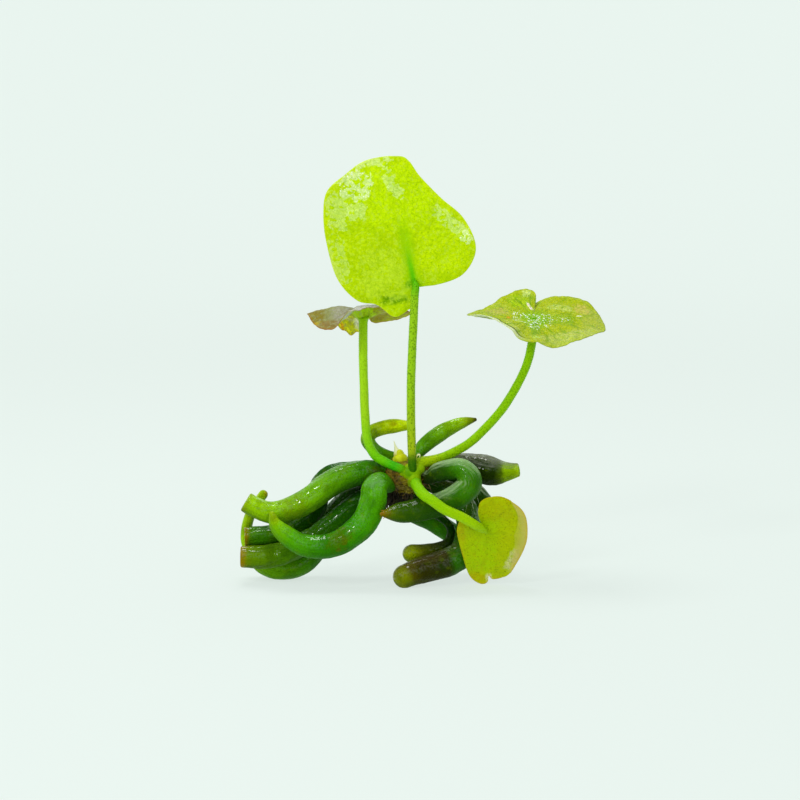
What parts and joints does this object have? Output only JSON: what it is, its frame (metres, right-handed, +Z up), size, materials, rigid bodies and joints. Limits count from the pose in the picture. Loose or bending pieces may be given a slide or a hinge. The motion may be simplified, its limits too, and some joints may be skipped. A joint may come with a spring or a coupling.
{
  "type": "banana lily plant",
  "caption": "Small water plant standing on thick banana-shaped tubers under a short crown, with leaf stalks and notched heart-shaped leaves.",
  "frame": {"origin": "on the ground, under the middle of the plant's bounding box", "axes": "+Z up, the plant's height; +X to the right across the leaves as seen from the front; +Y away from the viewer"},
  "size_m": [0.0732, 0.0283, 0.085],
  "materials": {
    "tuber_green": "wet, waxy mid-green tuber skin with low lengthwise ridges and brownish patches",
    "tuber_dark": "wet, waxy dark green tuber skin with a bluish sheen",
    "tuber_brown": "purple-brown, slightly rough tuber skin that turns yellow-green at the tip",
    "tuber_olive": "wet olive tuber skin with lengthwise grooves",
    "tuber_yellow_green": "smooth yellow-green young tuber with a brown tip",
    "stalk": "soft green leaf stalk with fine raised dark specks",
    "leaf_bright": "thin, translucent yellow-green blade with a fine net of veins",
    "leaf_olive": "olive-yellow blade with a reddish-orange margin",
    "leaf_sheen": "grey-green blade with a lilac sheen on top and a yellow-green underside",
    "bark": "brown, scaly, fibrous crown",
    "bud": "pale yellow bud and scale"
  },
  "bodies": {
    "root": {"crown": "bark", "crown_bud": "bud", "leaf_left": "leaf_sheen", "leaf_right": "leaf_bright", "leaf_small": "leaf_olive", "leaf_tall": "leaf_bright", "stalk_left": "stalk", "stalk_right": "stalk", "stalk_small": "stalk", "stalk_tall": "stalk", "tuber_arched_left": "tuber_green", "tuber_back_gap": "tuber_green", "tuber_back_right": "tuber_dark", "tuber_curled_left": "tuber_green", "tuber_dark_right": "tuber_brown", "tuber_foot_right": "tuber_brown", "tuber_hairpin_right": "tuber_dark", "tuber_hooked_left": "tuber_green", "tuber_lower_left": "tuber_olive", "tuber_thin_neck_right": "tuber_olive", "tuber_up_left": "tuber_yellow_green", "tuber_up_right": "tuber_yellow_green", "tuber_upper_left": "tuber_green"}
  },
  "joints": []
}
